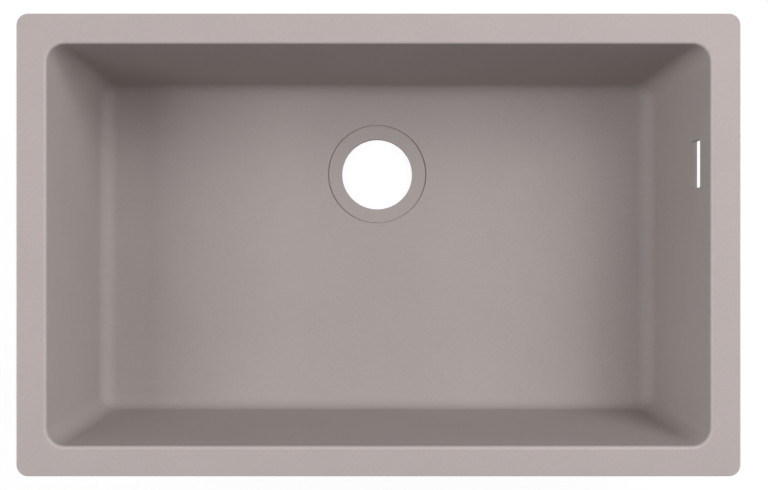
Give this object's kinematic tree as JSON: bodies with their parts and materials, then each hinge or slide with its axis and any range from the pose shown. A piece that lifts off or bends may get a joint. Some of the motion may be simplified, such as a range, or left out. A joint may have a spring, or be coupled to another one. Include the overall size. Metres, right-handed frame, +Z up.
{
  "type": "undermount kitchen sink",
  "caption": "Rectangular single-bowl undermount kitchen sink in moulded composite, with rear drain, side overflow slot and swivelling worktop clamps.",
  "frame": {"origin": "centre of the bowl opening, in the plane of the rim's top face, where the worktop's underside lies", "axes": "+X to the user's right, +Y to the back (the tap side, nearer the drain), +Z up"},
  "size_m": [0.72, 0.46, 0.203],
  "materials": {
    "composite": "fine-grained matt moulded composite, warm grey",
    "steel": "bright zinc-plated steel",
    "brass": "machined brass"
  },
  "bodies": {
    "root": {"basin": "composite", "bolt_back_left": "steel", "bolt_back_middle": "steel", "bolt_back_right": "steel", "bolt_front_left": "steel", "bolt_front_middle": "steel", "bolt_front_right": "steel", "bolt_left": "steel", "bolt_right": "steel", "insert_back_left": "brass", "insert_back_middle": "brass", "insert_back_right": "brass", "insert_front_left": "brass", "insert_front_middle": "brass", "insert_front_right": "brass", "insert_left": "brass", "insert_right": "brass", "washers": "steel"},
    "swing_front_left": {"clamp_front_left": "steel"},
    "swing_front_middle": {"clamp_front_middle": "steel"},
    "swing_front_right": {"clamp_front_right": "steel"},
    "swing_right": {"clamp_right": "steel"},
    "swing_back_right": {"clamp_back_right": "steel"},
    "swing_back_middle": {"clamp_back_middle": "steel"},
    "swing_back_left": {"clamp_back_left": "steel"},
    "swing_left": {"clamp_left": "steel"}
  },
  "joints": [
    {"name": "clamp_swing_front_left", "type": "hinge", "parent": "root", "child": "swing_front_left", "pos_m": [-0.24, -0.21842, -0.0177], "axis": [0, 0, -1], "range_deg": [0, 90]},
    {"name": "clamp_swing_front_middle", "type": "hinge", "parent": "root", "child": "swing_front_middle", "pos_m": [0, -0.21842, -0.0177], "axis": [0, 0, -1], "range_deg": [0, 90]},
    {"name": "clamp_swing_front_right", "type": "hinge", "parent": "root", "child": "swing_front_right", "pos_m": [0.24, -0.21842, -0.0177], "axis": [0, 0, -1], "range_deg": [0, 90]},
    {"name": "clamp_swing_right", "type": "hinge", "parent": "root", "child": "swing_right", "pos_m": [0.34842, 0, -0.0177], "axis": [0, 0, -1], "range_deg": [0, 90]},
    {"name": "clamp_swing_back_right", "type": "hinge", "parent": "root", "child": "swing_back_right", "pos_m": [0.24, 0.21842, -0.0177], "axis": [0, 0, -1], "range_deg": [0, 90]},
    {"name": "clamp_swing_back_middle", "type": "hinge", "parent": "root", "child": "swing_back_middle", "pos_m": [0, 0.21842, -0.0177], "axis": [0, 0, -1], "range_deg": [0, 90]},
    {"name": "clamp_swing_back_left", "type": "hinge", "parent": "root", "child": "swing_back_left", "pos_m": [-0.24, 0.21842, -0.0177], "axis": [0, 0, -1], "range_deg": [0, 90]},
    {"name": "clamp_swing_left", "type": "hinge", "parent": "root", "child": "swing_left", "pos_m": [-0.34842, 0, -0.0177], "axis": [0, 0, -1], "range_deg": [0, 90]}
  ]
}
